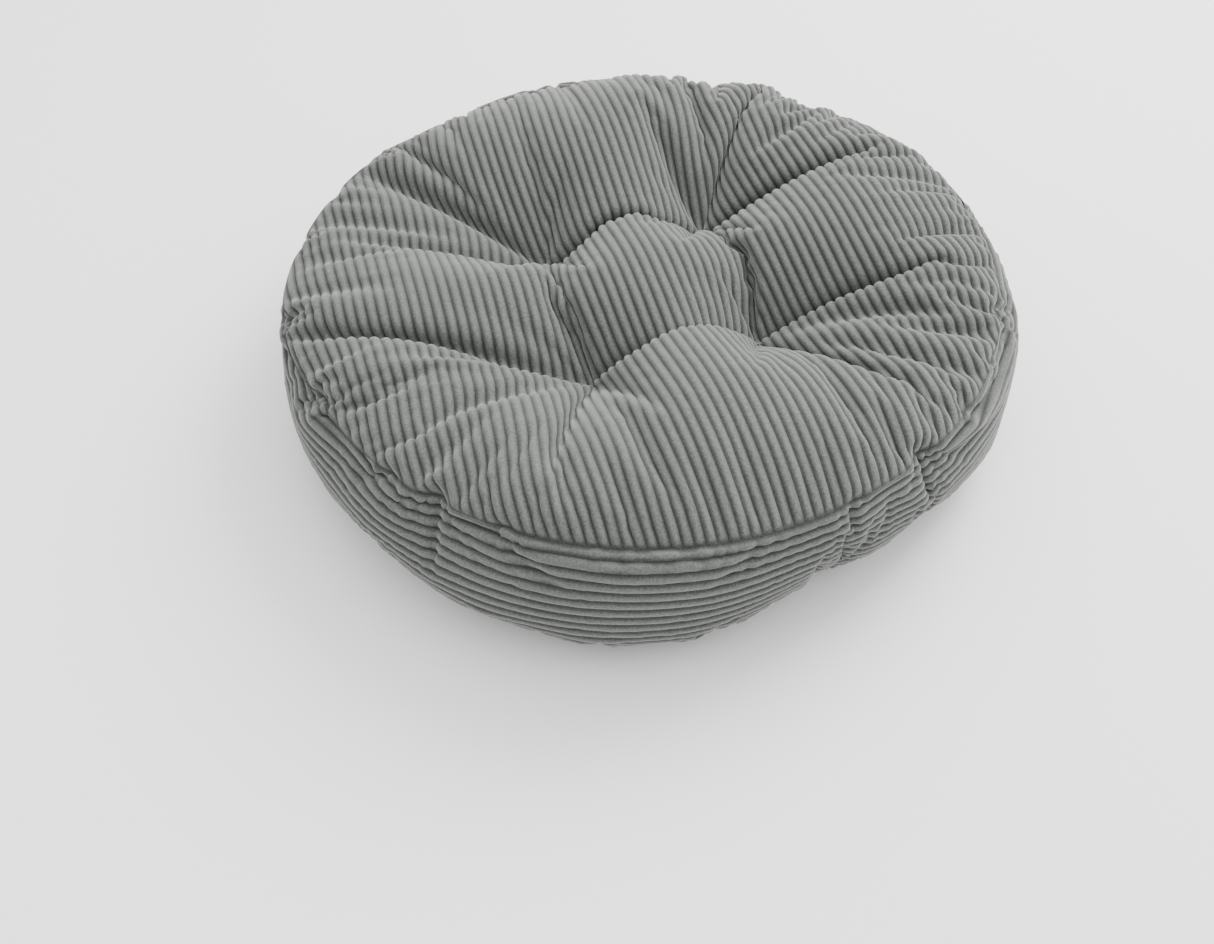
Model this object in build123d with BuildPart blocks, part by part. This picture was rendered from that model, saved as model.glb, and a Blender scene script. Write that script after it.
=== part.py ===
"""Round tufted seat cushion with a boxed side band and a non-slip base.

Frame: +Z up, origin on the floor under the middle of the base. The corduroy wales of the
top run along Y, and the four tufts stand at the corners of a square along X and Y.
The cushion is sewn from three cloths (top cover, side band, base cover), stuffed with loose
fibre, and drawn in by four twines that are knotted under the base. Millimetres throughout.
"""

import os

from build123d import *

# ---- driving dimensions of the stuffed cushion
TOP_SEAM_RADIUS = 200.0
TOP_SEAM_HEIGHT = 87.0
BULGE_RADIUS = 213.0
BULGE_HEIGHT = 46.0
BASE_SEAM_RADIUS = 193.0
BASE_SEAM_HEIGHT = 9.0
CROWN_HEIGHT = 114.0  # highest part of the top cover
CROWN_FLAT_RADIUS = 112.0  # where the top starts to roll down to the seam
BASE_FLAT_RADIUS = 168.0  # the part of the base that lies on the seat

# ---- cloths, print and threads
CORDUROY = 2.0  # thickness of the wide-wale corduroy, pile included
BASE_CLOTH = 1.2
PRINT = 0.4  # height of the printed non-slip layer
PRINT_RADIUS = 166.0
SEAM_ALLOWANCE = 11.0  # cloth turned inwards at every seam
STITCH_INSET = 5.0  # from the edge of the cushion to the stitch line
THREAD_RADIUS = 0.35
SEAM_THREAD_RADIUS = 0.42  # the two long threads of a round seam
ROUND_SEAM_STITCHES = 72
FILL_GAP = 0.3  # between the fibre and everything that touches it

# ---- tufts
TUFT_HALF_PITCH = 50.0
TUFT_FLOOR_RADIUS = 6.0
TUFT_FLOOR_HEIGHT = 60.0  # outer face of the top cover at the bottom of a tuft
TUFT_THROAT_RADIUS = 15.0
TUFT_THROAT_HEIGHT = 93.0
TUFT_MOUTH_RADIUS = 42.0
BASE_TUFT_HEIGHT = 13.0  # outer face of the base cover where the twine draws it up
BASE_TUFT_RADIUS = 16.0  # mouth of the hollow in the base
TWINE_RADIUS = 0.9
TWINE_LEG_OFFSET = 3.0
HOLE_OVERRUN = 3.0  # the twine's holes are cut this much longer than the twine
KNOT_RADIUS = 1.8
KNOT_OFFSET = 1.0  # the knot's two turns lie side by side

# ---- the seams that close the band and the stuffing hole, both at the back
BAND_SLIT = 0.2
SLIT_REACH = 82.0  # long enough to part the band from outside to inside
BAND_JOIN_STITCHES = 12
JOIN_CLEARANCE = 9.0  # from the ends of the band's flaps to the first and last stitch
JOIN_SETBACK = 4.0  # the join's straight row of stitches lies this far inside the bulge
CLOSING_DEGREES = 36.0
CLOSING_STITCHES = 24
CLOSING_RISE = 2.0  # how far each closing stitch reaches above and below the seam
CLOSING_STANDOFF = 2.4  # middle of the closing stitches, outside the base seam
CLOSING_LEAN = 1.7  # how far they lean out to follow the band
CLOSING_BEND = 0.8  # radius of the thread's turns

TUFTS = {
    "front_left": (-TUFT_HALF_PITCH, -TUFT_HALF_PITCH),
    "front_right": (TUFT_HALF_PITCH, -TUFT_HALF_PITCH),
    "back_left": (-TUFT_HALF_PITCH, TUFT_HALF_PITCH),
    "back_right": (TUFT_HALF_PITCH, TUFT_HALF_PITCH),
}
TUFT_PLACES = list(TUFTS.values())
SEAM_RING = TOP_SEAM_RADIUS - STITCH_INSET
BASE_RING = BASE_SEAM_RADIUS - STITCH_INSET
ABOVE = CROWN_HEIGHT + 10  # clear above the cushion
BELOW = -5  # clear below it


def crown_section(inset):
    """Half section of the dome over the top seam, drawn in by inset."""
    rise = CROWN_HEIGHT - TOP_SEAM_HEIGHT - inset
    width = TOP_SEAM_RADIUS - CROWN_FLAT_RADIUS - inset
    middle = (CROWN_FLAT_RADIUS, TOP_SEAM_HEIGHT)
    with BuildSketch() as section:
        with BuildLine():
            EllipticalCenterArc(middle, width, rise, start_angle=0, arc_size=90)
            Polyline(
                (CROWN_FLAT_RADIUS, TOP_SEAM_HEIGHT + rise),
                (0, TOP_SEAM_HEIGHT + rise),
                (0, TOP_SEAM_HEIGHT),
                (CROWN_FLAT_RADIUS + width, TOP_SEAM_HEIGHT),
            )
        make_face()
    return section.sketch


def band_section(inset):
    """Half section of the bulging stretch between the two seams, drawn in by inset."""
    top = (TOP_SEAM_RADIUS - inset, TOP_SEAM_HEIGHT)
    foot = (BASE_SEAM_RADIUS - inset, BASE_SEAM_HEIGHT)
    with BuildSketch() as section:
        with BuildLine():
            ThreePointArc(foot, (BULGE_RADIUS - inset, BULGE_HEIGHT), top)
            Polyline(top, (0, TOP_SEAM_HEIGHT), (0, BASE_SEAM_HEIGHT), foot)
        make_face()
    return section.sketch


def base_section(inset):
    """Half section of the shallow dish under the base seam, drawn in by inset."""
    drop = BASE_SEAM_HEIGHT - PRINT - inset
    width = BASE_SEAM_RADIUS - BASE_FLAT_RADIUS - inset
    middle = (BASE_FLAT_RADIUS, BASE_SEAM_HEIGHT)
    with BuildSketch() as section:
        with BuildLine():
            EllipticalCenterArc(middle, width, drop, start_angle=270, arc_size=90)
            Polyline(
                (BASE_FLAT_RADIUS + width, BASE_SEAM_HEIGHT),
                (0, BASE_SEAM_HEIGHT),
                (0, BASE_SEAM_HEIGHT - drop),
                (BASE_FLAT_RADIUS, BASE_SEAM_HEIGHT - drop),
            )
        make_face()
    return section.sketch


def turned_edge(seam_radius, seam_height, thickness):
    """Half section of a cloth's edge turned inwards at a seam, above it or, if negative, below."""
    with BuildSketch() as section:
        with Locations((seam_radius - abs(thickness) / 2, seam_height)):
            Rectangle(
                SEAM_ALLOWANCE - abs(thickness) / 2,
                abs(thickness),
                align=(Align.MAX, Align.MIN if thickness > 0 else Align.MAX),
            )
    return section.sketch


def top_funnel(grow):
    """The hollow that a twine draws in the top, made larger all round by grow."""
    floor = (TUFT_FLOOR_RADIUS + grow, TUFT_FLOOR_HEIGHT - grow)
    throat = (TUFT_THROAT_RADIUS + grow, TUFT_THROAT_HEIGHT)
    mouth = (TUFT_MOUTH_RADIUS + grow, CROWN_HEIGHT - grow)
    with BuildPart() as funnel:
        with BuildSketch(Plane.XZ):
            with BuildLine():
                Spline(floor, throat, mouth, tangents=[(0.1, 1), (1, 0.2)])
                Polyline(mouth, (mouth[0], ABOVE), (0, ABOVE), (0, floor[1]), floor)
            make_face()
        revolve(axis=Axis.Z)
    return funnel.part


def base_funnel(grow):
    """The shallow hollow that a twine draws in the base, made larger all round by grow."""
    ceiling = (TUFT_FLOOR_RADIUS + grow, BASE_TUFT_HEIGHT + grow)
    mouth = (BASE_TUFT_RADIUS + grow, PRINT + grow)
    with BuildPart() as funnel:
        with BuildSketch(Plane.XZ):
            with BuildLine():
                Polyline(
                    ceiling, mouth, (mouth[0], BELOW), (0, BELOW), (0, ceiling[1]), ceiling
                )
            make_face()
        revolve(axis=Axis.Z)
    return funnel.part


def seam_pins(radius, height, reach):
    """Upright stitches through the two turned-in edges of a round seam."""
    with BuildPart() as pins:
        with BuildSketch(Plane.XY.offset(height - reach)):
            with PolarLocations(radius, ROUND_SEAM_STITCHES, start_angle=2.5):
                Circle(THREAD_RADIUS)
        extrude(amount=2 * reach)
    return pins.part


def round_seam(radius, height, reach):
    """A lockstitch seam: a thread above the cloths, one below, and the stitches between."""
    with BuildPart() as thread:
        for level in (height - reach, height + reach):
            with BuildSketch(Plane.XZ):
                with Locations((radius, level)):
                    Circle(SEAM_THREAD_RADIUS)
            revolve(axis=Axis.Z)
        add(seam_pins(radius, height, reach))
    return thread.part


def twine_legs(leg_radius, low, high):
    """The two strands of a tuft's twine where it runs down through the cushion."""
    with BuildPart() as legs:
        with BuildSketch(Plane.XY.offset(low)):
            with Locations((-TWINE_LEG_OFFSET, 0), (TWINE_LEG_OFFSET, 0)):
                Circle(leg_radius)
        extrude(amount=high - low)
    return legs.part


def save(part, name):
    part.label = name
    export_step(part, f"parts/{name}.step")


os.makedirs("parts", exist_ok=True)

twine_low = BASE_TUFT_HEIGHT - TWINE_RADIUS
twine_high = TUFT_FLOOR_HEIGHT + TWINE_RADIUS
twine_holes = twine_legs(TWINE_RADIUS, twine_low - HOLE_OVERRUN, twine_high + HOLE_OVERRUN)
seam_reach = CORDUROY + SEAM_THREAD_RADIUS
top_pins = seam_pins(SEAM_RING, TOP_SEAM_HEIGHT, seam_reach)
base_pins = seam_pins(BASE_RING, BASE_SEAM_HEIGHT, seam_reach)

# ---- the whole cushion's outside, used to trim the hollows' walls
with BuildPart() as outside:
    with BuildSketch(Plane.XZ):
        add(crown_section(0))
        add(band_section(0))
        add(base_section(0))
    revolve(axis=Axis.Z)

# ---- top cover: a corduroy dome drawn down into four hollows, its edge turned in
with BuildPart() as top_cover:
    with BuildSketch(Plane.XZ):
        add(crown_section(0))
        add(crown_section(CORDUROY), mode=Mode.SUBTRACT)
        add(turned_edge(TOP_SEAM_RADIUS, TOP_SEAM_HEIGHT, CORDUROY))
    revolve(axis=Axis.Z)
    with Locations(*TUFT_PLACES):
        add(top_funnel(CORDUROY))
    add(outside.part, mode=Mode.INTERSECT)
    with Locations(*TUFT_PLACES):
        add(top_funnel(0), mode=Mode.SUBTRACT)
        add(twine_holes, mode=Mode.SUBTRACT)
    add(top_pins, mode=Mode.SUBTRACT)
save(top_cover.part, "top_cover")

# ---- side band: one strip of corduroy bent into a ring, its ends turned in at the back
flap_low = BASE_SEAM_HEIGHT + 2 * CORDUROY
flap_high = TOP_SEAM_HEIGHT - 2 * CORDUROY
join_x = BAND_SLIT / 2 + CORDUROY + SEAM_THREAD_RADIUS
join_y = BULGE_RADIUS - CORDUROY - SEAM_ALLOWANCE / 2 - JOIN_SETBACK
join_length = flap_high - flap_low - 2 * JOIN_CLEARANCE
with BuildPart() as join_pins:
    with BuildSketch(Plane.YZ.offset(-join_x)):
        with Locations((join_y, (flap_low + flap_high) / 2)):
            with GridLocations(1, join_length / (BAND_JOIN_STITCHES - 1), 1, BAND_JOIN_STITCHES):
                Circle(THREAD_RADIUS)
    extrude(amount=2 * join_x)
with BuildPart() as side_band:
    with BuildSketch(Plane.XZ):
        add(band_section(0))
        add(band_section(CORDUROY), mode=Mode.SUBTRACT)
        add(turned_edge(TOP_SEAM_RADIUS, TOP_SEAM_HEIGHT, -CORDUROY))
        add(turned_edge(BASE_SEAM_RADIUS, BASE_SEAM_HEIGHT, CORDUROY))
    revolve(axis=Axis.Z)
    with BuildSketch(Plane.YZ.offset(-CORDUROY - BAND_SLIT / 2)):
        add(band_section(CORDUROY / 2))
        with Locations((0, TOP_SEAM_HEIGHT / 2)):
            Rectangle(
                2 * (BULGE_RADIUS - CORDUROY - SEAM_ALLOWANCE),
                2 * TOP_SEAM_HEIGHT,
                mode=Mode.SUBTRACT,
            )
        with Locations((BULGE_RADIUS, (flap_low + flap_high) / 2)):
            Rectangle(2 * BULGE_RADIUS, flap_high - flap_low, mode=Mode.INTERSECT)
    extrude(amount=2 * CORDUROY + BAND_SLIT)
    with Locations((0, BULGE_RADIUS, TOP_SEAM_HEIGHT / 2)):
        Box(BAND_SLIT, SLIT_REACH, 2 * TOP_SEAM_HEIGHT, mode=Mode.SUBTRACT)
    add(top_pins, mode=Mode.SUBTRACT)
    add(base_pins, mode=Mode.SUBTRACT)
    add(join_pins.part, mode=Mode.SUBTRACT)
save(side_band.part, "side_band")

# ---- base cover: non-slip cloth, dished at the rim, drawn up into four shallow hollows
with BuildPart() as base_cover:
    with BuildSketch(Plane.XZ):
        add(base_section(0))
        add(base_section(BASE_CLOTH), mode=Mode.SUBTRACT)
        add(turned_edge(BASE_SEAM_RADIUS, BASE_SEAM_HEIGHT, -BASE_CLOTH))
    revolve(axis=Axis.Z)
    with Locations(*TUFT_PLACES):
        add(base_funnel(BASE_CLOTH))
    with BuildSketch(Plane.XY.offset(PRINT)):
        Circle(BASE_SEAM_RADIUS + 1)
    extrude(amount=BELOW - PRINT, mode=Mode.SUBTRACT)
    with Locations(*TUFT_PLACES):
        add(base_funnel(0), mode=Mode.SUBTRACT)
        add(twine_holes, mode=Mode.SUBTRACT)
    add(base_pins, mode=Mode.SUBTRACT)
save(base_cover.part, "base_cover")

# ---- grip print: the layer of the base that touches the seat, open round each tuft
with BuildPart() as grip_print:
    with BuildSketch(Plane.XY):
        Circle(PRINT_RADIUS)
        with Locations(*TUFT_PLACES):
            Circle(BASE_TUFT_RADIUS + BASE_CLOTH, mode=Mode.SUBTRACT)
    extrude(amount=PRINT)
save(grip_print.part, "grip_print")

# ---- fibre filling: everything between the covers
with BuildPart() as fibre_filling:
    with BuildSketch(Plane.XZ):
        add(crown_section(CORDUROY + FILL_GAP))
        add(band_section(CORDUROY + FILL_GAP))
        add(base_section(BASE_CLOTH + FILL_GAP))
        with Locations(
            (TOP_SEAM_RADIUS, TOP_SEAM_HEIGHT), (BASE_SEAM_RADIUS, BASE_SEAM_HEIGHT)
        ):
            Rectangle(
                2 * (SEAM_ALLOWANCE + FILL_GAP),
                2 * (seam_reach + 3 * FILL_GAP),
                mode=Mode.SUBTRACT,
            )
    revolve(axis=Axis.Z)
    with Locations(*TUFT_PLACES):
        add(top_funnel(CORDUROY + FILL_GAP), mode=Mode.SUBTRACT)
        add(base_funnel(BASE_CLOTH + FILL_GAP), mode=Mode.SUBTRACT)
        add(twine_holes, mode=Mode.SUBTRACT)
    with Locations((0, BULGE_RADIUS, TOP_SEAM_HEIGHT / 2)):
        Box(
            2 * CORDUROY + 10 * FILL_GAP,
            2 * (CORDUROY + SEAM_ALLOWANCE + FILL_GAP),
            2 * TOP_SEAM_HEIGHT,
            mode=Mode.SUBTRACT,
        )
save(fibre_filling.part, "fibre_filling")

# ---- round seams
save(round_seam(SEAM_RING, TOP_SEAM_HEIGHT, seam_reach), "top_seam_thread")
save(round_seam(BASE_RING, BASE_SEAM_HEIGHT, seam_reach), "base_seam_thread")

# ---- band join: a row of stitches through the band's two turned-in ends
with BuildPart() as band_join_thread:
    for side in (-join_x, join_x):
        with BuildSketch(Plane.XY.offset(flap_low + JOIN_CLEARANCE)):
            with Locations((side, join_y)):
                Circle(THREAD_RADIUS)
        extrude(amount=join_length)
    add(join_pins.part)
save(band_join_thread.part, "band_join_thread")

# ---- closing thread: the hand-sewn zigzag over the stuffing hole in the base seam
closing_points = []
for stitch in range(CLOSING_STITCHES + 1):
    turn = 90 - CLOSING_DEGREES / 2 + stitch * CLOSING_DEGREES / CLOSING_STITCHES
    side = 1 if stitch % 2 else -1
    corner = Vector(
        BASE_SEAM_RADIUS + CLOSING_STANDOFF + side * CLOSING_LEAN,
        0,
        BASE_SEAM_HEIGHT + side * CLOSING_RISE,
    )
    closing_points.append(corner.rotate(Axis.Z, turn))
with BuildPart() as closing_thread:
    with BuildLine():
        closing_path = FilletPolyline(*closing_points, radius=CLOSING_BEND)
    with BuildSketch(Plane(closing_path @ 0, z_dir=closing_path % 0)):
        Circle(THREAD_RADIUS)
    sweep()
save(closing_thread.part, "closing_thread")

knot_height = twine_low - TWINE_RADIUS - KNOT_RADIUS

# ---- tufts: a doubled twine through the cushion and a knot under the base
for tuft, (x, y) in TUFTS.items():
    with BuildPart() as twine:
        add(twine_legs(TWINE_RADIUS, twine_low, twine_high))
        for level in (twine_low, twine_high):
            with BuildSketch(Plane.YZ.offset(-TWINE_LEG_OFFSET)):
                with Locations((0, level)):
                    Circle(TWINE_RADIUS)
            extrude(amount=2 * TWINE_LEG_OFFSET)
            with Locations((-TWINE_LEG_OFFSET, 0, level), (TWINE_LEG_OFFSET, 0, level)):
                Sphere(TWINE_RADIUS)
    save(twine.part.moved(Location((x, y, 0))), f"tuft_twine_{tuft}")

    with BuildPart() as knot:
        with Locations((-KNOT_OFFSET, 0, knot_height), (KNOT_OFFSET, 0, knot_height)):
            Sphere(KNOT_RADIUS)
    save(knot.part.moved(Location((x, y, 0))), f"tuft_knot_{tuft}")
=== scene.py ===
"""Looks of the round tufted corduroy seat cushion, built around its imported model. Metres."""

import math

import bpy
import numpy as np
from mathutils import Matrix, Vector, geometry
from mathutils.bvhtree import BVHTree


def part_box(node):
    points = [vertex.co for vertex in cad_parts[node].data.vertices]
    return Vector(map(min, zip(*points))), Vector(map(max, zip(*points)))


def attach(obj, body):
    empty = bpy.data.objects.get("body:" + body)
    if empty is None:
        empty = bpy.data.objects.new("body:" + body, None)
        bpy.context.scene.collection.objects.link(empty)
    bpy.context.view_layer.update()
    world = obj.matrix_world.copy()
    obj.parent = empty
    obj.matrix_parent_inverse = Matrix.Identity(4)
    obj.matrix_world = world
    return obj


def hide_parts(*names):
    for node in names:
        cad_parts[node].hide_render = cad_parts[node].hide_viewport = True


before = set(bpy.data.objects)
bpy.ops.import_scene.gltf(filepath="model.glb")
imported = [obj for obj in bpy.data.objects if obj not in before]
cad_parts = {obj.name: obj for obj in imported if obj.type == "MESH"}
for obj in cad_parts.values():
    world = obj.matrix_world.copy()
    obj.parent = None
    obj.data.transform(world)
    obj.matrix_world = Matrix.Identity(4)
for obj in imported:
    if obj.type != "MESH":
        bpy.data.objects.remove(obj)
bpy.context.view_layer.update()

# ---- places and sizes read from the frame
TOP_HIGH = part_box("top_cover")[1]
BAND_LOW, BAND_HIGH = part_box("side_band")
BASE_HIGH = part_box("base_cover")[1]
PRINT_LOW, PRINT_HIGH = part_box("grip_print")
TOP_SEAM_RADIUS = TOP_HIGH.x
TOP_SEAM_Z = BAND_HIGH.z
BASE_SEAM_RADIUS = BASE_HIGH.x
BASE_SEAM_Z = BAND_LOW.z
CROWN_Z = TOP_HIGH.z
FLOOR_Z = PRINT_LOW.z
TUFT_NAMES = ("front_left", "front_right", "back_left", "back_right")
TUFT_MARKS = [(sx, sy) for sx in (-1, 1) for sy in (-1, 1)]
TWINE_LOW, TWINE_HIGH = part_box("tuft_twine_front_right")
TWINE_OVER = 0.0018  # a twine's bar stands this far past the cloth it holds
TUFT_PITCH = (TWINE_LOW.x + TWINE_HIGH.x) / 2  # a tuft's distance from each middle line
TUFT_TOP_Z = TWINE_HIGH.z - TWINE_OVER
BASE_TUFT_Z = TWINE_LOW.z + TWINE_OVER

# ---- the cut pattern: the top panel and the band are cut larger than the seams they are sewn to
CUT_RADIUS = TOP_SEAM_RADIUS * 1.12
CUT_TUFT = TUFT_PITCH * 1.22  # where the tufts' marks are on the flat panel
CUT_BAND_HEIGHT = 1.17 * (TOP_SEAM_Z - BASE_SEAM_Z)
BAND_FULLNESS = 1.055  # the band's length against the top seam's
FRONT_EASE = 0.92  # cloth per seam length along the smooth front
TUFT_HOLD = 0.0055  # radius that a tuft's twine holds down
CLOTH_STEP = 0.0045  # the simulated panel's spacing
BASE_STEP = 0.003  # the base cloth's spacing
SEWN_FRAME = 18  # the pinned points reach the seams here
SIM_FRAMES = 28  # and the cloth has settled here

# ---- how the filled cushion differs from round: directions and spreads in degrees
FULL_SIDE = 0.014  # the filling has gathered at the back left
FULL_MIDDLE = 150
FULL_SPREAD = 34
SLIM_SIDE = 0.008  # and is short at the back right
SLIM_MIDDLE = 45
SLIM_SPREAD = 36
FRONT_LIFT = 0.005  # the smooth front seam stands higher
FRONT_MIDDLE = 255
FRONT_SPREAD = 50
ROLLED_IN = 0.003  # behind, the full top rolls out over its seam
ROLLED_DOWN = 0.006
ROLLED_MIDDLE = 125
ROLLED_SPREAD = 90
DRAWN_IN = 0.011  # at the front right, the base seam is drawn in and up
DRAWN_UP = 0.006
DRAWN_MIDDLE = 286
DRAWN_SPREAD = 22
SLACK_MIDDLE = 240  # where the band hangs fullest
SLACK_SPREAD = 22

# ---- corduroy
WALE_PITCH = 0.0058
WALE_HEIGHT = 0.0016
WALE_STEPS = 7  # points across one wale
TOP_ROWS = 176  # points along one wale
BAND_WALES = 15
BAND_COLUMNS = 800

# ---- the base cloth's relief
BASE_DISHED = 0.004  # the cloth leaves the seat this far inside the printed disc's rim
BASE_RIPPLE = 0.0009
PIT_RADIUS = 0.0085  # the dimple that a knot sits in
PIT_ROOM = 0.0006  # between the knot and its cloth

# ---- seams' threads and the filling
JOIN_ANGLE = math.radians(90)  # the band's ends meet at the back
JOIN_DEPTH = 0.0022
STITCH_PITCH = 0.0035
STITCH_RADIUS = 0.0004
STITCH_SHARE = (0.12, 0.88)  # where a stitch starts and stops, in its pitch
CLOSING_FROM = 96  # degrees, to one side of the band's join
CLOSING_TO = 130
CLOSING_STEP = 1.35
CLOSING_RADIUS = 0.0005
FILL_GAP = 0.009  # between the fibre and the covers
FILL_SIDE = 0.86  # height of the fibre's side against the band's
FILL_RINGS = 30

# ---- non-slip print: long dashes in staggered rows, with a short upright one between
PRINT_PERIOD = 0.012
PRINT_ROW = 0.455 * PRINT_PERIOD
PRINT_SHIFT = -0.33 * PRINT_PERIOD
DASH_LENGTH = 0.49 * PRINT_PERIOD
DASH_WIDTH = 0.12 * PRINT_PERIOD
DASH_TILT = math.radians(78)
PRINT_MARGIN = 0.008  # bare cloth inside the base's rim
PRINT_COLUMNS = 40  # more than reach the rim on either side
PRINT_CLEAR = 0.007  # bare cloth round a tuft and along the drawn seam

# puckers: angle in degrees, depth inwards in metres, half width in degrees and, on the top seam,
# how much extra cloth is gathered there
TOP_PUCKERS = (
    (210, 0.0035, 1.6, 0.00), (219, 0.0070, 2.1, 0.20), (231, 0.0030, 1.7, 0.00),
    (283, 0.0020, 1.7, 0.00), (297, 0.0065, 2.1, 0.30), (309, 0.0025, 1.7, 0.35),
    (321, 0.0020, 1.6, 0.30), (333, 0.0040, 1.9, 0.50), (345, 0.0020, 1.5, 0.30),
    (356, 0.0045, 1.9, 0.55), (14, 0.0020, 1.7, 0.20), (38, 0.0070, 2.2, 0.80),
    (63, 0.0080, 2.2, 0.80), (109, 0.0020, 1.6, 0.20), (118, 0.0030, 1.6, 0.30),
    (127, 0.0055, 2.0, 0.60), (139, 0.0020, 1.6, 0.30), (152, 0.0030, 1.7, 0.35),
    (170, 0.0055, 2.0, 0.60), (189, 0.0055, 2.1, 0.60),
)
BASE_PUCKERS = (
    (206, 0.0030, 2.4), (224, 0.0040, 2.2), (243, 0.0030, 2.6), (262, 0.0020, 3.0),
    (281, 0.0040, 2.6), (299, 0.0030, 2.4), (318, 0.0035, 2.6), (342, 0.0025, 2.2),
    (8, 0.0030, 2.6), (29, 0.0025, 2.2), (54, 0.0035, 2.6), (80, 0.0020, 2.8),
    (103, 0.0030, 2.4), (131, 0.0030, 2.6), (155, 0.0025, 2.2), (179, 0.0035, 2.6),
)

# ---- colours of the pile from a groove's bottom to a wale's top: groove and flank are painted shade in the hollows, ridge is the pile's own colour
GROOVE_SHADE = (0.035, 0.038, 0.035)
FLANK_SHADE = (0.072, 0.077, 0.070)
RIDGE = (0.141, 0.149, 0.137)

# ---- light and camera
SKY_TOWARD = (0.42, 0.22, 0.88)  # the sky is brightest this way
SKY_LOW = 0.3
SKY_HIGH = 3.15
SOFTBOXES = (  # place, size, watts
    ((1.0, 0.45, 1.2), 0.9, 34),
    ((-1.2, -0.4, 1.1), 1.2, 3),
)
CAMERA_AZIMUTH = math.radians(-17)
CAMERA_ELEVATION = math.radians(45.4)
CAMERA_ROLL = math.radians(-1.5)
CAMERA_DISTANCE = 0.9
CAMERA_TARGET = Vector((0, 0, 0.045))
CAMERA_LENS = 44.7
CAMERA_SHIFT = (-0.035, -0.121)


# ================================================================ helpers
def new_mesh(name, points, faces, smooth=True):
    mesh = bpy.data.meshes.new(name)
    mesh.from_pydata([tuple(p) for p in points], [], [tuple(map(int, f)) for f in faces])
    mesh.update()
    if smooth:
        mesh.polygons.foreach_set("use_smooth", [True] * len(mesh.polygons))
    piece = bpy.data.objects.new(name, mesh)
    bpy.context.scene.collection.objects.link(piece)
    return piece


def coordinates(mesh):
    flat = np.empty(len(mesh.vertices) * 3)
    mesh.vertices.foreach_get("co", flat)
    return flat.reshape(-1, 3)


def evaluated(piece):
    """The piece's mesh with its modifiers applied, as arrays: points, normals, triangles."""
    shown = piece.evaluated_get(bpy.context.evaluated_depsgraph_get())
    mesh = shown.to_mesh()
    points = coordinates(mesh)
    normals = np.empty(len(mesh.vertices) * 3)
    mesh.vertices.foreach_get("normal", normals)
    mesh.calc_loop_triangles()
    triangles = np.empty(len(mesh.loop_triangles) * 3, dtype=np.int32)
    mesh.loop_triangles.foreach_get("vertices", triangles)
    shown.to_mesh_clear()
    return points, normals.reshape(-1, 3), triangles.reshape(-1, 3)


def smoothstep(low, high, value):
    t = np.clip((value - low) / (high - low), 0, 1)
    return t * t * (3 - 2 * t)


def hex_lattice(radius, step):
    """Points of a triangular lattice inside a circle."""
    rise = step * math.sqrt(3) / 2
    rows = int(radius / rise) + 1
    count = int(radius / step) + 1
    points = []
    for row in range(-rows, rows + 1):
        y = row * rise
        shift = step / 2 if row % 2 else 0
        for column in range(-count, count + 1):
            x = column * step + shift
            if math.hypot(x, y) < radius:
                points.append((x, y))
    return points


def disc_pattern(radius, step):
    """A flat disc of even triangles with a clean rim. Returns points, triangles and rim flags."""
    rim_count = int(2 * math.pi * radius / step)
    rim = [
        (radius * math.cos(a), radius * math.sin(a))
        for a in np.linspace(0, 2 * math.pi, rim_count, endpoint=False)
    ]
    inner = hex_lattice(radius - 0.75 * step, step)
    points = [Vector(p) for p in rim + inner]
    placed, _, faces, _, _, _ = geometry.delaunay_2d_cdt(points, [], [], 0, 1e-6)
    flat = np.array([(p.x, p.y) for p in placed])
    on_rim = np.hypot(flat[:, 0], flat[:, 1]) > radius - 0.25 * step
    return flat, faces, on_rim


def relax(piece, cut, pinned, pressure, bending, stiffness=40):
    """Blender's cloth solver. The piece starts as the flat cut, its pinned points are drawn to
    where they are sewn, and pressure fills it. Returns where its points come to rest."""
    sewn = coordinates(piece.data)
    piece.data.vertices.foreach_set("co", np.asarray(cut).ravel())
    piece.shape_key_add(name="cut")
    key = piece.shape_key_add(name="sewn")
    key.data.foreach_set("co", sewn.ravel())
    for step, value in ((1, 0.0), (SEWN_FRAME, 1.0)):
        key.value = value
        key.keyframe_insert("value", frame=step)
    pins = piece.vertex_groups.new(name="pins")
    pins.add([int(i) for i in np.flatnonzero(pinned)], 1.0, "REPLACE")
    cloth = piece.modifiers.new("cloth", "CLOTH")
    settings = cloth.settings
    settings.vertex_group_mass = pins.name
    settings.quality = 7
    settings.mass = 0.05
    settings.air_damping = 2.0
    settings.tension_stiffness = stiffness
    settings.compression_stiffness = stiffness
    settings.shear_stiffness = stiffness / 2
    settings.bending_stiffness = bending
    settings.use_pressure = True
    settings.uniform_pressure_force = pressure
    settings.effector_weights.gravity = 0
    cloth.collision_settings.use_collision = False
    cloth.point_cache.frame_start = 1
    cloth.point_cache.frame_end = SIM_FRAMES
    scene = bpy.context.scene
    for step in range(1, SIM_FRAMES + 1):
        scene.frame_set(step)
    points, _, _ = evaluated(piece)
    piece.modifiers.remove(cloth)
    piece.shape_key_clear()
    scene.frame_set(1)
    return points


# ================================================================ seams
def dips(angle, puckers, column):
    """Sum of bell curves at the puckers, with their heights from the given column."""
    total = np.zeros_like(angle)
    for pucker in puckers:
        gap = (angle - math.radians(pucker[0]) + math.pi) % (2 * math.pi) - math.pi
        total += pucker[column] * np.exp(-((gap / math.radians(pucker[2])) ** 2))
    return total


def around(angle, middle, spread):
    """A flat-topped hump round one direction, from 0 to 1; middle and spread in degrees."""
    gap = (angle - math.radians(middle) + math.pi) % (2 * math.pi) - math.pi
    return np.exp(-((gap / math.radians(spread)) ** 4))


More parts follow.
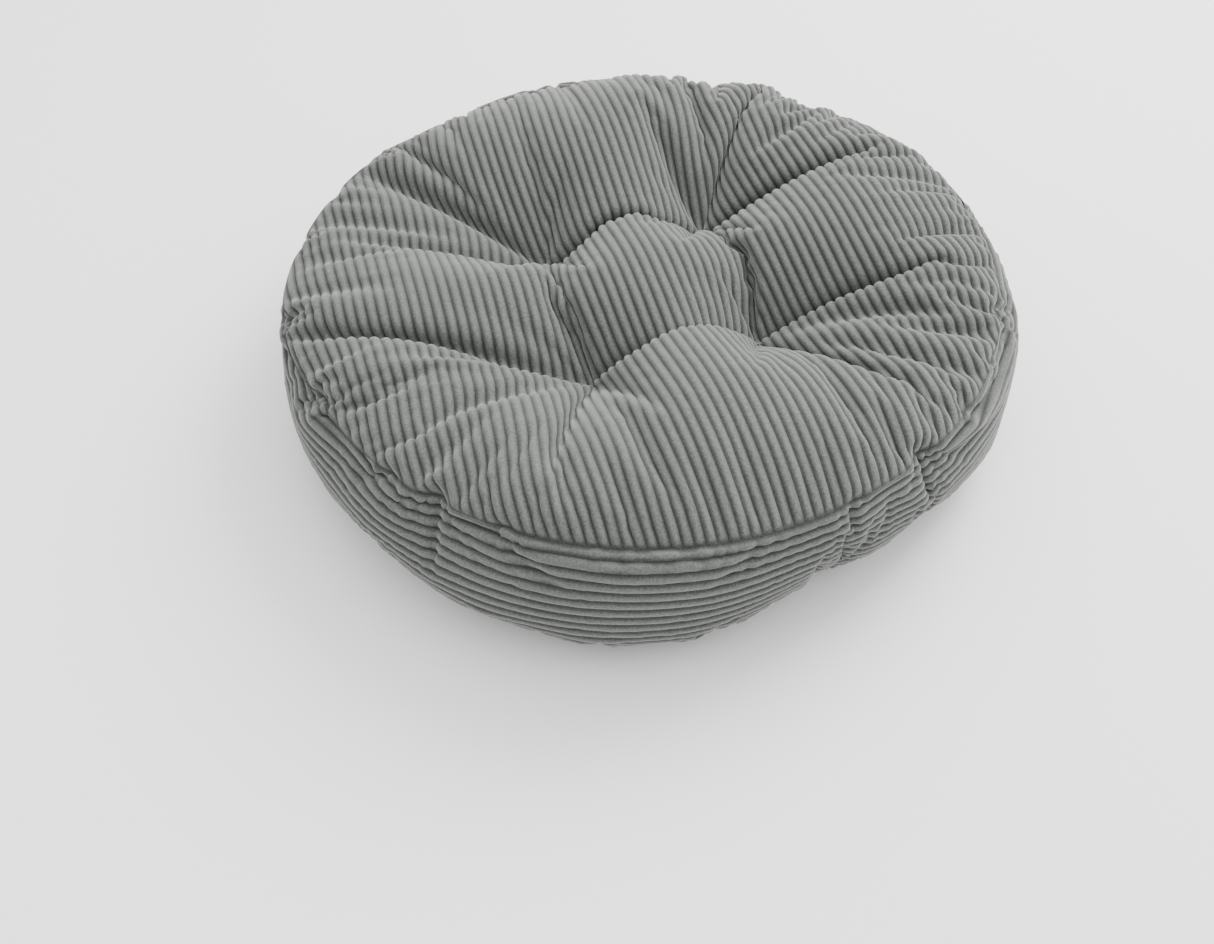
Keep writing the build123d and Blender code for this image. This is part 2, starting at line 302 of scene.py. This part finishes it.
def waves(angle, size, seed):
    """A slow irregular wave round the cushion."""
    dice = np.random.default_rng(seed)
    total = np.zeros_like(angle)
    for lobes in range(2, 9):
        total += dice.normal() * np.cos(lobes * angle + dice.uniform(0, 2 * math.pi)) / lobes
    return size * total


def outline(angle):
    """How far the filled cushion is out of round."""
    full = FULL_SIDE * around(angle, FULL_MIDDLE, FULL_SPREAD)
    return full - SLIM_SIDE * around(angle, SLIM_MIDDLE, SLIM_SPREAD)


def top_seam(angle):
    """Radius and height of the top seam at an angle."""
    dip = dips(angle, TOP_PUCKERS, 1)
    rolled = around(angle, ROLLED_MIDDLE, ROLLED_SPREAD)
    front = around(angle, FRONT_MIDDLE, FRONT_SPREAD)
    radius = TOP_SEAM_RADIUS + outline(angle) + waves(angle, 0.0006, 3) - dip - ROLLED_IN * rolled
    lift = FRONT_LIFT * front - ROLLED_DOWN * rolled
    height = TOP_SEAM_Z + waves(angle, 0.0008, 4) - 0.3 * dip + lift
    return radius - FRONT_LIFT / 3 * front, height


def base_seam(angle):
    """Radius and height of the base seam at an angle."""
    dip = dips(angle, BASE_PUCKERS, 1)
    drawn = around(angle, DRAWN_MIDDLE, DRAWN_SPREAD)
    radius = BASE_SEAM_RADIUS + outline(angle) + waves(angle, 0.0008, 5) - dip - DRAWN_IN * drawn
    return radius, BASE_SEAM_Z + 0.25 * dip + DRAWN_UP * drawn


def sewn_angle(cut_angle):
    """Where on the seam a point of the cut rim is sewn: little cloth along the front, more
    gathered at the puckers, so the cloth folds there."""
    turn = np.linspace(-math.pi / 2, 1.5 * math.pi, 2881)
    front = around(turn, FRONT_MIDDLE, FRONT_SPREAD)
    gathers = dips(turn, TOP_PUCKERS, 3)
    rest = (1 - np.mean(FRONT_EASE * front + gathers)) / np.mean(1 - front)
    density = rest * (1 - front) + FRONT_EASE * front + gathers
    total = np.concatenate([[0], np.cumsum((density[1:] + density[:-1]) / 2)])
    total = total / total[-1] * 2 * math.pi - math.pi / 2
    wrapped = (cut_angle + math.pi / 2) % (2 * math.pi) - math.pi / 2
    return np.interp(wrapped, total, turn)


def pulled(angle, puckers, reach=6.5, most=0.45):
    """Where a point of the band's edge is sewn: each pucker draws in the cloth on both sides."""
    total = np.array(angle, dtype=float)
    for pucker in puckers:
        gap = (angle - math.radians(pucker[0]) + math.pi) % (2 * math.pi) - math.pi
        share = gap / math.radians(reach)
        total -= min(most, 80 * pucker[1]) * gap * np.exp(-(share**2))
    return total


# ================================================================ the top panel
def tuft_gap(flat, sx, sy):
    return np.hypot(flat[:, 0] - sx * CUT_TUFT, flat[:, 1] - sy * CUT_TUFT)


def sewn_top(flat):
    """The panel drawn to its seam and tufts, over its flat cut; also which points are held."""
    r = np.hypot(flat[:, 0], flat[:, 1])
    angle = sewn_angle(np.arctan2(flat[:, 1], flat[:, 0]))
    seam_r, seam_z = top_seam(angle)
    share = r / CUT_RADIUS
    height = seam_z + (CROWN_Z - 0.01 - seam_z) * (1 - share**4)
    reach = seam_r * share
    place = np.column_stack([reach * np.cos(angle), reach * np.sin(angle), height])
    inner = flat * (TOP_SEAM_RADIUS / CUT_RADIUS)
    mix = smoothstep(0.5, 1.0, share)[:, None]
    place[:, :2] = place[:, :2] * mix + inner * (1 - mix)
    held = r > CUT_RADIUS - 0.25 * CLOTH_STEP
    for sx, sy in TUFT_MARKS:
        gap = tuft_gap(flat, sx, sy)
        hold = gap < TUFT_HOLD
        place[hold, 0] = sx * TUFT_PITCH + (flat[hold, 0] - sx * CUT_TUFT) * 0.6
        place[hold, 1] = sy * TUFT_PITCH + (flat[hold, 1] - sy * CUT_TUFT) * 0.6
        place[hold, 2] = TUFT_TOP_Z
        held = held | hold
    return place, held


def top_shell():
    flat, faces, _ = disc_pattern(CUT_RADIUS, CLOTH_STEP)
    sewn, held = sewn_top(flat)
    dice = np.random.default_rng(7)
    cut = np.column_stack([flat, TOP_SEAM_Z + dice.normal(0, 0.0003, len(flat))])
    shell = new_mesh("top_shell", sewn, faces)
    rest = relax(shell, cut, held, pressure=1200, bending=90)
    shell.data.vertices.foreach_set("co", rest.ravel())
    cut[:, 2] = 0
    return shell, new_mesh("top_cut", cut, faces)


def sampled(shell, pattern, wanted):
    """Positions and normals of the smoothed shell at the wanted places of its flat cut."""
    for piece in (shell, pattern):
        piece.modifiers.new("smooth", "SUBSURF").levels = 2
    points, normals, triangles = evaluated(shell)
    flat, _, _ = evaluated(pattern)
    tree = BVHTree.FromPolygons(flat.tolist(), triangles.tolist())
    found = [tree.find_nearest(Vector((x, y, 0)))[2] for x, y in wanted]
    corners = triangles[found]
    a, b, c = (flat[corners[:, k], :2] for k in range(3))
    ab, ac, ap = b - a, c - a, wanted - a
    area = ab[:, 0] * ac[:, 1] - ab[:, 1] * ac[:, 0]
    area = np.where(np.abs(area) < 1e-14, 1e-14, area)
    v = (ap[:, 0] * ac[:, 1] - ap[:, 1] * ac[:, 0]) / area
    w = (ab[:, 0] * ap[:, 1] - ab[:, 1] * ap[:, 0]) / area
    share = np.clip(np.column_stack([1 - v - w, v, w]), 0, 1)
    share /= share.sum(axis=1)[:, None]
    place = sum(points[corners[:, k]] * share[:, k, None] for k in range(3))
    normal = sum(normals[corners[:, k]] * share[:, k, None] for k in range(3))
    normal /= np.linalg.norm(normal, axis=1)[:, None]
    return place, normal


def wale_profile(across):
    """Height of the pile across the wales, from 0 in a groove to 1 on a ridge."""
    t = np.abs(across % 1 - 0.5) * 2
    return 1 - t**2.2


def grid_faces(columns, rows, closed=False):
    index = np.arange(columns * rows).reshape(columns, rows)
    if closed:
        index = np.vstack([index, index[:1]])
    a, b = index[:-1, :-1], index[1:, :-1]
    c, d = index[1:, 1:], index[:-1, 1:]
    return np.stack([a, b, c, d], axis=-1).reshape(-1, 4)


def mark_ridge_shade(piece, ridge):
    # this mask sets the painted shade: where it is low, the pile is coloured darker, as in a
    # groove
    mark = piece.data.attributes.new("ridge", "FLOAT", "POINT")
    mark.data.foreach_set("value", np.asarray(ridge, dtype=np.float32).ravel())


def corduroy_top(shell, cut):
    """The fine panel: every wale is modelled along the cloth, so it follows every fold."""
    step = WALE_PITCH / WALE_STEPS
    half = int(CUT_RADIUS / step)
    across = np.arange(-half, half + 1) * step
    across = across[np.abs(across) < CUT_RADIUS - 0.0004]
    along = np.sqrt(CUT_RADIUS**2 - across**2)
    x = np.repeat(across[:, None], TOP_ROWS, axis=1).ravel()
    y = (along[:, None] * np.linspace(-1, 1, TOP_ROWS)[None, :]).ravel()
    place, normal = sampled(shell, cut, np.column_stack([x, y]))
    edge = CUT_RADIUS - np.hypot(x, y)
    ridge = wale_profile(x / WALE_PITCH)
    place = place + normal * (WALE_HEIGHT * ridge * smoothstep(-0.0005, 0.0045, edge))[:, None]
    piece = new_mesh("corduroy_top", place, grid_faces(len(across), TOP_ROWS))
    # the colour mask drops to 0 at the rim: painted shade along the seam where the panel tucks in
    mark_ridge_shade(piece, ridge * smoothstep(-0.001, 0.002, edge))
    return piece


# ================================================================ the side band
def band_grid(columns=400, rows=23):
    """The strip between the two seams, sewn to both and filled, as a grid of points."""
    turn = np.arange(columns) / columns * 2 * math.pi
    rise = np.linspace(0, 1, rows)
    radius = TOP_SEAM_RADIUS * BAND_FULLNESS
    tall = CUT_BAND_HEIGHT
    for change, middle_angle, spread in (
        (-0.10, DRAWN_MIDDLE, DRAWN_SPREAD),
        (-0.06, ROLLED_MIDDLE, ROLLED_SPREAD),
        (0.06, SLACK_MIDDLE, SLACK_SPREAD),
    ):
        tall = tall * (1 + change * around(turn, middle_angle, spread))
    low = (TOP_SEAM_Z + BASE_SEAM_Z - tall) / 2
    dice = np.random.default_rng(11)
    r = radius + dice.normal(0, 0.0002, (columns, rows))
    cut = np.stack([
        r * np.cos(turn)[:, None],
        r * np.sin(turn)[:, None],
        low[:, None] + tall[:, None] * rise,
    ], axis=-1)
    sewn = cut.copy()
    for row, seam, angle in (
        (rows - 1, top_seam, pulled(turn, TOP_PUCKERS)),
        (0, base_seam, pulled(turn, BASE_PUCKERS, most=0.25)),
    ):
        seam_r, seam_z = seam(angle)
        sewn[:, row] = np.stack([seam_r * np.cos(angle), seam_r * np.sin(angle), seam_z], axis=-1)
    held = np.zeros((columns, rows), dtype=bool)
    held[:, [0, rows - 1]] = True
    piece = new_mesh("band_shell", sewn.reshape(-1, 3), grid_faces(columns, rows, closed=True))
    rest = relax(piece, cut.reshape(-1, 3), held.ravel(), pressure=500, bending=8)
    bpy.data.objects.remove(piece)
    return rest.reshape(columns, rows, 3)


def cubic(values, count, closed):
    """Values along axis 0 resampled to count places with a smooth curve through them."""
    size = len(values)
    place = np.arange(count) / count * size if closed else np.linspace(0, size - 1, count)
    start = np.minimum(np.floor(place).astype(int), size - (1 if closed else 2))
    t = (place - start)[:, None, None]

    def at(offset):
        index = start + offset
        return values[index % size] if closed else values[np.clip(index, 0, size - 1)]

    p0, p1, p2, p3 = at(-1), at(0), at(1), at(2)
    return 0.5 * (
        2 * p1 + (p2 - p0) * t + (2 * p0 - 5 * p1 + 4 * p2 - p3) * t**2
        + (3 * p1 - p0 - 3 * p2 + p3) * t**3
    )


def corduroy_band(grid):
    rows = BAND_WALES * WALE_STEPS + 1
    fine = cubic(grid, BAND_COLUMNS, closed=True)
    fine = cubic(fine.transpose(1, 0, 2), rows, closed=False).transpose(1, 0, 2)
    round_ = np.roll(fine, -1, axis=0) - np.roll(fine, 1, axis=0)
    up = np.gradient(fine, axis=1)
    normal = np.cross(round_, up)
    normal /= np.linalg.norm(normal, axis=2)[:, :, None]
    place = np.arange(rows) / WALE_STEPS
    ridge = wale_profile(place)
    ends = smoothstep(0, 0.5, np.minimum(place, BAND_WALES - place))
    turn = np.arange(BAND_COLUMNS) / BAND_COLUMNS * 2 * math.pi
    join = np.exp(-(((turn - JOIN_ANGLE) / math.radians(0.6)) ** 2))
    # the wales flatten at both seams and along the join, and the same mask paints shade there:
    # darker along the seams and in the join's groove
    ridge = ridge[None, :] * ends[None, :] * (1 - 0.9 * join[:, None])
    sunk = JOIN_DEPTH * join[:, None] * smoothstep(0, 2, np.minimum(place, BAND_WALES - place))
    fine = fine + normal * (WALE_HEIGHT * ridge - sunk)[:, :, None]
    faces = grid_faces(BAND_COLUMNS, rows, closed=True)
    piece = new_mesh("corduroy_band", fine.reshape(-1, 3), faces)
    mark_ridge_shade(piece, ridge)
    return piece


# ================================================================ the base
def base_surface(x, y):
    """Height of the base cloth's outer face: flat on the seat, dished to the seam, drawn up at
    the tufts."""
    r = np.hypot(x, y)
    angle = np.arctan2(y, x)
    seam_r, seam_z = base_seam(angle)
    flat_r = PRINT_HIGH.x - BASE_DISHED
    t = np.clip((r - flat_r) / (seam_r - flat_r), 0, 1)
    height = PRINT_HIGH.z + (seam_z - PRINT_HIGH.z) * (1 - np.sqrt(np.clip(1 - t**2, 0, 1)))
    ripple = BASE_RIPPLE * np.sin(58 * angle + 2.1 * np.sin(3 * angle)) * smoothstep(0.3, 0.8, t)
    height = height + ripple * (1 - smoothstep(0.85, 1, t))
    for sx, sy in TUFT_MARKS:
        dx, dy = x - sx * TUFT_PITCH, y - sy * TUFT_PITCH
        gap = np.hypot(dx, dy)
        spokes = np.cos(7 * np.arctan2(dy, dx) + sx + 2 * sy)
        star = 1 + 0.18 * spokes * smoothstep(0.002, 0.01, gap)
        depth = BASE_TUFT_Z - PIT_ROOM - PRINT_HIGH.z
        height = height + depth * np.exp(-((gap * star / PIT_RADIUS) ** 1.7))
    return height


def base_cloth():
    """The base panel: a flat disc whose outer fifth is eased out to the base seam."""
    flat, faces, _ = disc_pattern(BASE_SEAM_RADIUS, BASE_STEP)
    seam_r, _ = base_seam(np.arctan2(flat[:, 1], flat[:, 0]))
    share = np.hypot(flat[:, 0], flat[:, 1]) / BASE_SEAM_RADIUS
    flat = flat * (1 + (seam_r / BASE_SEAM_RADIUS - 1) * smoothstep(0.8, 1, share))[:, None]
    height = base_surface(flat[:, 0], flat[:, 1])
    faces = [tuple(reversed(face)) for face in faces]
    return new_mesh("base_cloth", np.column_stack([flat, height]), faces)


def dash(x, y, turn, points, faces):
    """One printed dash: a low pad with rounded ends that follows the cloth."""
    edge = []
    for side in (0, 1):
        for k in range(4):
            a = -math.pi / 2 + math.pi * k / 3 + side * math.pi
            reach = (DASH_LENGTH - DASH_WIDTH) / 2 * (1 if side == 0 else -1)
            edge.append((reach + DASH_WIDTH / 2 * math.cos(a), DASH_WIDTH / 2 * math.sin(a)))
    c, s = math.cos(turn), math.sin(turn)
    first = len(points)
    for level, scale in ((0.00015, 1.0), (-0.0003, 1.0), (-0.0004, 0.82)):
        for u, v in edge:
            u, v = u - DASH_WIDTH / 2 * (1 - scale) * np.sign(u), v * scale
            px, py = x + u * c - v * s, y + u * s + v * c
            points.append((px, py, level))
    count = len(edge)
    for low in (first, first + count):
        for k in range(count):
            n = (k + 1) % count
            faces.append((low + n, low + k, low + count + k, low + count + n))
    faces.append(tuple(first + 2 * count + k for k in reversed(range(count))))


def grip_print():
    """All the printed dashes, in staggered rows, as far as the base's rim."""
    reach = BASE_SEAM_RADIUS - PRINT_MARGIN
    tufts = [(sx * TUFT_PITCH, sy * TUFT_PITCH) for sx, sy in TUFT_MARKS]
    points, faces = [], []
    rows = int(reach / PRINT_ROW)
    for row in range(-rows, rows + 1):
        for column in range(-PRINT_COLUMNS, PRINT_COLUMNS + 1):
            for upright in (False, True):
                x = column * PRINT_PERIOD + (row * PRINT_SHIFT) % PRINT_PERIOD
                x += PRINT_PERIOD / 2 if upright else 0
                y = row * PRINT_ROW
                rim = base_seam(np.array(math.atan2(y, x)))[0] - PRINT_CLEAR
                near = min(math.dist((x, y), tuft) for tuft in tufts)
                if math.hypot(x, y) < min(reach, rim) and near > PRINT_CLEAR:
                    dash(x, y, DASH_TILT if upright else 0.0, points, faces)
    points = np.array(points)
    points[:, 2] += base_surface(points[:, 0], points[:, 1])
    points[:, 2] = np.maximum(points[:, 2], FLOOR_Z)
    return new_mesh("grip_dashes", points, faces, smooth=False)


# ================================================================ seams' threads
def stitches(name, ends, radius, sides=6):
    """One small round-ended tube for each pair of ends."""
    points, faces = [], []
    for start, stop in ends:
        start, stop = Vector(start), Vector(stop)
        along = (stop - start).normalized()
        side = along.orthogonal().normalized()
        other = along.cross(side)
        first = len(points)
        tip = along * radius * 0.7
        rings = ((start - tip, 0.5), (start, 1), (stop, 1), (stop + tip, 0.5))
        for centre, scale in rings:
            for k in range(sides):
                a = 2 * math.pi * k / sides
                points.append(centre + (side * math.cos(a) + other * math.sin(a)) * radius * scale)
        for ring in range(len(rings) - 1):
            for k in range(sides):
                n = (k + 1) % sides
                low, high = first + ring * sides, first + (ring + 1) * sides
                faces.append((low + k, low + n, high + n, high + k))
        faces.append(tuple(first + k for k in reversed(range(sides))))
        faces.append(tuple(first + (len(rings) - 1) * sides + k for k in range(sides)))
    return new_mesh(name, points, faces)


def seam_stitches(name, seam, lift, inset=0.0012):
    """The machine stitches of a round seam, on the inside of its fold."""
    count = int(2 * math.pi * seam(np.zeros(1))[0][0] / STITCH_PITCH)
    ends = []
    for k in range(count):
        pair = []
        for step in STITCH_SHARE:
            angle = np.array(2 * math.pi * (k + step) / count)
            r, z = seam(angle)
            pair.append(((r - inset) * math.cos(angle), (r - inset) * math.sin(angle), z + lift))
        ends.append(pair)
    return stitches(name, ends, STITCH_RADIUS)


def join_stitches(grid):
    """The seam that joins the band's ends, just inside its groove."""
    column = grid[round(JOIN_ANGLE / (2 * math.pi) * len(grid))]
    steps = np.concatenate([[0], np.cumsum(np.linalg.norm(np.diff(column, axis=0), axis=1))])
    count = int(steps[-1] / STITCH_PITCH)
    out = np.array([math.cos(JOIN_ANGLE), math.sin(JOIN_ANGLE), 0])

    def at(share):
        place = [np.interp(share * steps[-1], steps, column[:, k]) for k in range(3)]
        return np.array(place) - out * (JOIN_DEPTH + 2 * STITCH_RADIUS)

    ends = [[at((k + step) / count) for step in STITCH_SHARE] for k in range(1, count - 1)]
    return stitches("join_stitches", ends, STITCH_RADIUS)


def closing_stitches():
    """The hand-sewn stitches that close the stuffing hole, slanting over the base seam."""
    ends = []
    for angle in np.arange(CLOSING_FROM, CLOSING_TO, CLOSING_STEP):
        pair = []
        for on, out, lift in ((0, -0.0016, -0.0022), (0.45, 0.0022, 0.0018)):
            turn = math.radians(angle + CLOSING_STEP * on)
            r, z = base_seam(np.array(turn))
            pair.append(((r + out) * math.cos(turn), (r + out) * math.sin(turn), z + lift))
        ends.append(pair)
    return stitches("closing_stitches", ends, CLOSING_RADIUS)


# ================================================================ the filling
def filling(shell, grid):
    """Loose fibre: one closed lumpy body that keeps clear of the covers on every side."""
    dice = np.random.default_rng(23)
    side = grid[::2].copy()
    count, rows = side.shape[:2]
    reach = np.hypot(side[:, :, 0], side[:, :, 1])
    side[:, :, :2] *= ((reach - FILL_GAP) / reach)[:, :, None]
    middle_z = (TOP_SEAM_Z + BASE_SEAM_Z) / 2
    side[:, :, 2] = middle_z + (side[:, :, 2] - middle_z) * FILL_SIDE
    tree = BVHTree.FromObject(shell, bpy.context.evaluated_depsgraph_get())
    turns = np.arange(8) * math.pi / 4
    near = [(FILL_GAP * math.cos(a), FILL_GAP * math.sin(a)) for a in turns] + [(0, 0)]

    def ceiling(x, y):
        hits = [tree.ray_cast(Vector((x + u, y + v, 1)), Vector((0, 0, -1)))[0] for u, v in near]
        return min([hit.z for hit in hits if hit] + [CROWN_Z]) - FILL_GAP

    def bottom(x, y):
        places = np.array(near) + (x, y)
        return base_surface(places[:, 0], places[:, 1]).max() + FILL_GAP / 2

    points = list(side.reshape(-1, 3))
    faces = [tuple(face) for face in grid_faces(count, rows, closed=True)]
    for row, height, way in ((rows - 1, ceiling, 1), (0, bottom, -1)):
        ring = [k * rows + row for k in range(count)]
        for step in range(1, FILL_RINGS):
            inner = []
            for x, y in side[:, row, :2] * (1 - step / FILL_RINGS):
                inner.append(len(points))
                points.append((x, y, height(x, y) + dice.normal(0, 0.0003)))
            for k in range(count):
                n = (k + 1) % count
                faces.append((ring[k], ring[n], inner[n], inner[k])[::way])
            ring = inner
        hub = len(points)
        points.append((0, 0, height(0, 0)))
        for k in range(count):
            faces.append((ring[k], ring[(k + 1) % count], hub)[::way])
    return new_mesh("fibre_body", points, faces)


# ================================================================ materials
class Nodes:
    """Short hand for building a material's nodes."""

    def __init__(self, name, roughness=0.9):
        self.material = bpy.data.materials.new(name)
        self.material.use_nodes = True
        self.tree = self.material.node_tree
        self.shader = self.tree.nodes["Principled BSDF"]
        self.shader.inputs["Roughness"].default_value = roughness
        self.shader.inputs["Specular IOR Level"].default_value = 0.2

    def add(self, kind, **settings):
        node = self.tree.nodes.new("ShaderNode" + kind)
        for key, value in settings.items():
            if hasattr(node, key):
                setattr(node, key, value)
            else:
                node.inputs[key.replace("_", " ")].default_value = value
        return node

    def link(self, source, target):
        self.tree.links.new(source, target)

    def noise(self, scale, detail=3.0, stretch=(1, 1, 1)):
        place = self.add("TexCoord")
        mapping = self.add("Mapping")
        mapping.inputs["Scale"].default_value = stretch
        self.link(place.outputs["Object"], mapping.inputs["Vector"])
        noise = self.add("TexNoise", Scale=scale, Detail=detail)
        self.link(mapping.outputs[0], noise.inputs["Vector"])
        return noise.outputs["Fac"]

    def ramp(self, factor, stops):
        ramp = self.add("ValToRGB")
        while len(ramp.color_ramp.elements) < len(stops):
            ramp.color_ramp.elements.new(0.5)
        for element, (place, colour) in zip(ramp.color_ramp.elements, stops):
            element.position = place
            element.color = (*colour, 1)
        self.link(factor, ramp.inputs["Fac"])
        return ramp.outputs["Color"]

    def mix(self, kind, factor, a, b):
        mix = self.add("Mix", data_type="RGBA", blend_type=kind)
        for socket, value in ((mix.inputs[0], factor), (mix.inputs[6], a), (mix.inputs[7], b)):
            if isinstance(value, bpy.types.NodeSocket):
                self.link(value, socket)
            else:
                socket.default_value = value if isinstance(value, float) else (*value, 1)
        return mix.outputs[2]

    def bump(self, height, distance, strength=1.0, below=None):
        bump = self.add("Bump", Strength=strength, Distance=distance)
        self.link(height, bump.inputs["Height"])
        if below:
            self.link(below, bump.inputs["Normal"])
        return bump.outputs["Normal"]

    def finish(self, colour, normal=None):
        self.link(colour, self.shader.inputs["Base Color"])
        if normal:
            self.link(normal, self.shader.inputs["Normal"])
        return self.material


def corduroy():
    """Cut pile: its own colour on the ridges, painted shade darkening the flanks and grooves,
    brushed in patches, with a soft sheen.
    """
    nodes = Nodes("sage_corduroy", roughness=0.95)
    ridge = nodes.add("Attribute", attribute_name="ridge").outputs["Fac"]
    # painted shade: the mask takes the pile from its own colour on the wale tops to darker flanks
    # and grooves
    pile = nodes.ramp(ridge, ((0.0, GROOVE_SHADE), (0.55, FLANK_SHADE), (1.0, RIDGE)))
    brushed = nodes.ramp(nodes.noise(22, 4), ((0.3, (0.90, 0.90, 0.90)), (0.7, (1.0, 1.0, 1.0))))
    tufts = nodes.ramp(nodes.noise(900, 2), ((0.35, (0.66, 0.66, 0.66)), (0.65, (1.0, 1.0, 1.0))))
    colour = nodes.mix("MULTIPLY", 1.0, nodes.mix("MULTIPLY", 1.0, pile, brushed), tufts)
    coarse = nodes.bump(nodes.noise(700, 3), 0.0005, 0.7)
    fine = nodes.bump(nodes.noise(2600, 2), 0.0003, 0.6, below=coarse)
    nodes.shader.inputs["Sheen Weight"].default_value = 0.45
    nodes.shader.inputs["Sheen Roughness"].default_value = 0.45
    nodes.shader.inputs["Sheen Tint"].default_value = (0.92, 0.94, 0.91, 1)
    return nodes.finish(colour, fine)


def weave(name, dark, light, pitch):
    """Plain weave over the horizontal plane: crossing yarns, a little uneven."""
    nodes = Nodes(name, roughness=0.92)
    place = nodes.add("TexCoord").outputs["Object"]
    yarns = []
    for direction in ("X", "Y"):
        wave = nodes.add("TexWave", wave_type="BANDS", bands_direction=direction)
        wave.inputs["Scale"].default_value = 1 / pitch / 3.2
        wave.inputs["Distortion"].default_value = 0.6
        nodes.link(place, wave.inputs["Vector"])
        yarns.append(wave.outputs["Fac"])
    cross = nodes.mix("MULTIPLY", 1.0, yarns[0], yarns[1])
    fibre = nodes.noise(1800, 3)
    both = nodes.mix("MIX", 0.35, cross, fibre)
    colour = nodes.ramp(both, ((0.15, dark), (0.75, light)))
    return nodes.finish(colour, nodes.bump(both, 0.0003, 0.8))


def twisted(name, dark, light, scale=1500):
    """Spun thread or twine: fine slanting plies."""
    nodes = Nodes(name, roughness=0.8)
    place = nodes.add("TexCoord").outputs["Object"]
    wave = nodes.add("TexWave", wave_type="BANDS", bands_direction="DIAGONAL", Scale=scale / 6)
    nodes.link(place, wave.inputs["Vector"])
    colour = nodes.ramp(wave.outputs["Fac"], ((0.2, dark), (0.8, light)))
    return nodes.finish(colour, nodes.bump(wave.outputs["Fac"], 0.0002, 0.6))


def silicone():
    nodes = Nodes("grip_silicone", roughness=0.55)
    shades = ((0.3, (0.055, 0.05, 0.053)), (0.7, (0.085, 0.078, 0.082)))
    colour = nodes.ramp(nodes.noise(400, 3), shades)
    return nodes.finish(colour, nodes.bump(nodes.noise(1500, 2), 0.0001, 0.5))


def fibre():
    nodes = Nodes("polyester_fibre", roughness=1.0)
    colour = nodes.ramp(nodes.noise(300, 5), ((0.3, (0.72, 0.72, 0.7)), (0.7, (0.9, 0.9, 0.88))))
    return nodes.finish(colour, nodes.bump(nodes.noise(500, 5, (1, 3, 1)), 0.002, 0.8))


def plain(name, colour, roughness):
    nodes = Nodes(name, roughness)
    nodes.shader.inputs["Base Color"].default_value = (*colour, 1)
    return nodes.material


def stage():
    """A pale floor under a soft bright sky, with the main lamp at the back right."""
    corners = [(-3, -3, 0), (3, -3, 0), (3, 3, 0), (-3, 3, 0)]
    floor = new_mesh("floor", corners, [(0, 1, 2, 3)], smooth=False)
    floor.location.z = FLOOR_Z - 0.0005
    floor.data.materials.append(plain("floor_paper", (0.9, 0.9, 0.9), 0.8))
    world = bpy.data.worlds.new("studio")
    bpy.context.scene.world = world
    world.use_nodes = True
    sky = world.node_tree
    toward = sky.nodes.new("ShaderNodeVectorMath")
    toward.operation = "DOT_PRODUCT"
    toward.inputs[1].default_value = SKY_TOWARD
    sky.links.new(sky.nodes.new("ShaderNodeTexCoord").outputs["Generated"], toward.inputs[0])
    level = sky.nodes.new("ShaderNodeMapRange")
    level.inputs["From Min"].default_value = -0.2
    level.inputs["To Min"].default_value = SKY_LOW
    level.inputs["To Max"].default_value = SKY_HIGH
    sky.links.new(toward.outputs["Value"], level.inputs["Value"])
    sky.links.new(level.outputs[0], sky.nodes["Background"].inputs["Strength"])
    sky.nodes["Background"].inputs["Color"].default_value = (1, 1, 1, 1)
    for place, size, power in SOFTBOXES:
        lamp = bpy.data.lights.new("softbox", "AREA")
        lamp.size = size
        lamp.energy = power
        holder = bpy.data.objects.new("softbox", lamp)
        bpy.context.scene.collection.objects.link(holder)
        holder.location = place
        aim = Vector((0, 0, 0.05)) - Vector(place)
        holder.rotation_mode = "QUATERNION"
        holder.rotation_quaternion = aim.to_track_quat("-Z", "Y")


def camera():
    """Looks down on the cushion from the front, a little to the left."""
    level_reach = math.cos(CAMERA_ELEVATION)
    back = Vector((
        math.sin(CAMERA_AZIMUTH) * level_reach,
        -math.cos(CAMERA_AZIMUTH) * level_reach,
        math.sin(CAMERA_ELEVATION),
    ))
    lens = bpy.data.cameras.new("camera")
    lens.sensor_width = 36
    lens.lens = CAMERA_LENS
    lens.shift_x, lens.shift_y = CAMERA_SHIFT
    holder = bpy.data.objects.new("camera", lens)
    bpy.context.scene.collection.objects.link(holder)
    place = Matrix.Translation(CAMERA_TARGET + back * CAMERA_DISTANCE)
    turn = (-back).to_track_quat("-Z", "Y").to_matrix().to_4x4()
    holder.matrix_world = place @ turn @ Matrix.Rotation(CAMERA_ROLL, 4, "Z")
    bpy.context.scene.camera = holder


def show(piece, body_material, slot, *nodes):
    piece.data.materials.append(body_material)
    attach(piece, "root")
    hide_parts(*nodes)
    return piece


def refinish(node, new_material):
    """Gives a CAD node that stays its own material."""
    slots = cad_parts[node].material_slots
    if slots:
        slots[0].material = new_material
    else:
        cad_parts[node].data.materials.append(new_material)


# ================================================================ making it
camera()
stage()
pile = corduroy()
shell, cut = top_shell()
grid = band_grid()
cover = show(corduroy_top(shell, cut), pile, "corduroy", "top_cover")
band = show(corduroy_band(grid), pile, "corduroy", "side_band")
plain_weave = weave("base_weave", (0.19, 0.175, 0.18), (0.36, 0.335, 0.34), 0.0006)
base = show(base_cloth(), plain_weave, "base_cloth", "base_cover")
show(grip_print(), silicone(), "grip_print", "grip_print")
wadding = show(filling(shell, grid), fibre(), "fibre", "fibre_filling")
for helper in (shell, cut):
    bpy.data.objects.remove(helper)
thread = twisted("sewing_thread", (0.045, 0.049, 0.044), (0.11, 0.117, 0.107))
twine = twisted("waxed_twine", (0.055, 0.059, 0.054), (0.15, 0.158, 0.146), 700)
for piece, node in (
    (seam_stitches("top_stitches", top_seam, lift=-0.0006), "top_seam_thread"),
    (seam_stitches("base_stitches", base_seam, lift=0.0008), "base_seam_thread"),
    (join_stitches(grid), "band_join_thread"),
    (closing_stitches(), "closing_thread"),
):
    show(piece, thread, "thread", node)
for name in TUFT_NAMES:
    refinish("tuft_twine_" + name, twine)
    refinish("tuft_knot_" + name, twine)
